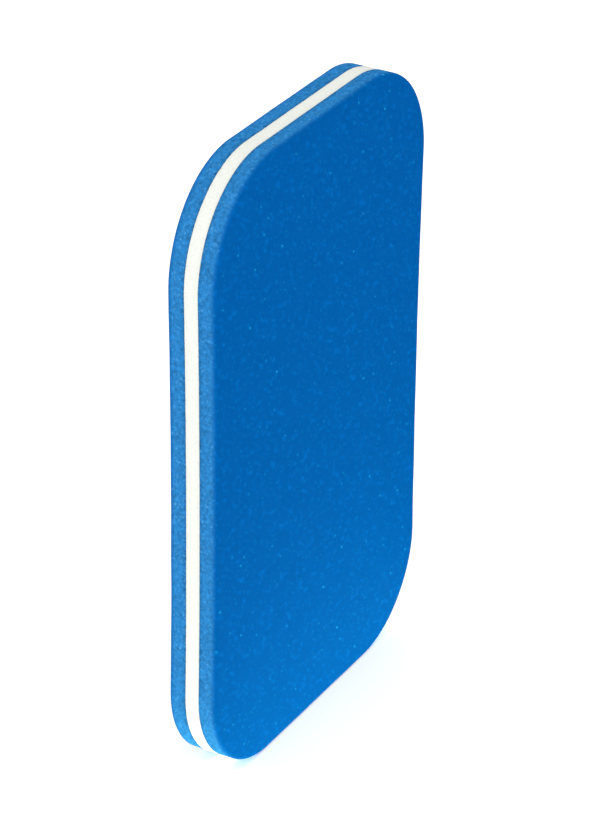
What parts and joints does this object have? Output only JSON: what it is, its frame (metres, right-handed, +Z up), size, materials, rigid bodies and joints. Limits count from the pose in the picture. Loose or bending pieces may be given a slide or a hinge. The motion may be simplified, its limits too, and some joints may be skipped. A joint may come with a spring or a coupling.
{
  "type": "kickboard",
  "caption": "Flat laminated foam kickboard: blue foam sheets either side of a white core, in a rounded rectangle with gently waisted long sides.",
  "frame": {"origin": "middle of the short end that the board stands on, at the floor", "axes": "+Z up along the board's length, +Y through its thickness from the front face to the back face, +X across its width"},
  "size_m": [0.302, 0.038, 0.48],
  "materials": {
    "blue_foam": "matt closed-cell foam, fine cells on the faces and coarser, paler cut cells on the edge",
    "white_foam": "matt closed-cell foam with cut cells",
    "adhesive": "thin cured adhesive film, seen only as a hairline in the joint"
  },
  "bodies": {
    "root": {"front_skin": "blue_foam", "front_bond": "adhesive", "core": "white_foam", "back_bond": "adhesive", "back_skin": "blue_foam"}
  },
  "joints": []
}
